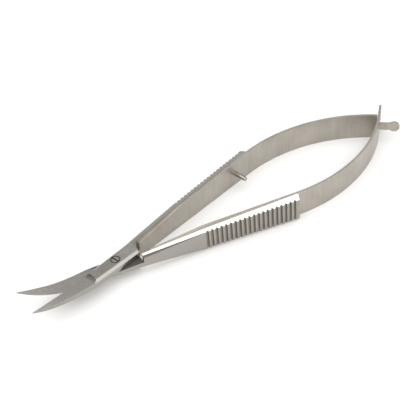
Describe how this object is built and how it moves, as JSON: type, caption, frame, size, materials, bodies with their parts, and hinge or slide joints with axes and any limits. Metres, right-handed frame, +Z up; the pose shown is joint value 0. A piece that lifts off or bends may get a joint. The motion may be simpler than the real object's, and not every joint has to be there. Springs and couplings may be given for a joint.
{
  "type": "spring-action scissors",
  "caption": "Small squeeze-handled scissors with short curved blades, grooved grips and leaf springs that hook together at the rear and hold the blades open.",
  "frame": {"origin": "middle of the length and width, on the plane that the springs' lower edges rest on", "axes": "+X from the blade tips to the rear of the springs, +Z up along the pivot screw, blades curve up"},
  "size_m": [0.1072, 0.0236, 0.0071],
  "materials": {
    "lever_steel": "satin ground steel",
    "spring_steel": "satin cross-brushed steel",
    "fastener_steel": "turned steel"
  },
  "bodies": {
    "lower": {"lower_lever": "lever_steel", "keyhole_spring": "spring_steel", "pivot_screw": "fastener_steel", "lower_front_rivet": "fastener_steel", "lower_rear_rivet": "fastener_steel"},
    "upper": {"upper_lever": "lever_steel", "tongue_spring": "spring_steel", "stop_pin": "fastener_steel", "upper_front_rivet": "fastener_steel"}
  },
  "joints": [
    {"name": "pivot", "type": "hinge", "parent": "lower", "child": "upper", "pos_m": [-0.03075, 0, 0.00355], "axis": [0, 0, -1], "range_deg": [0, 19], "stiffness_Nm_per_rad": 0.15, "deforming": ["tongue_spring", "keyhole_spring"]}
  ]
}
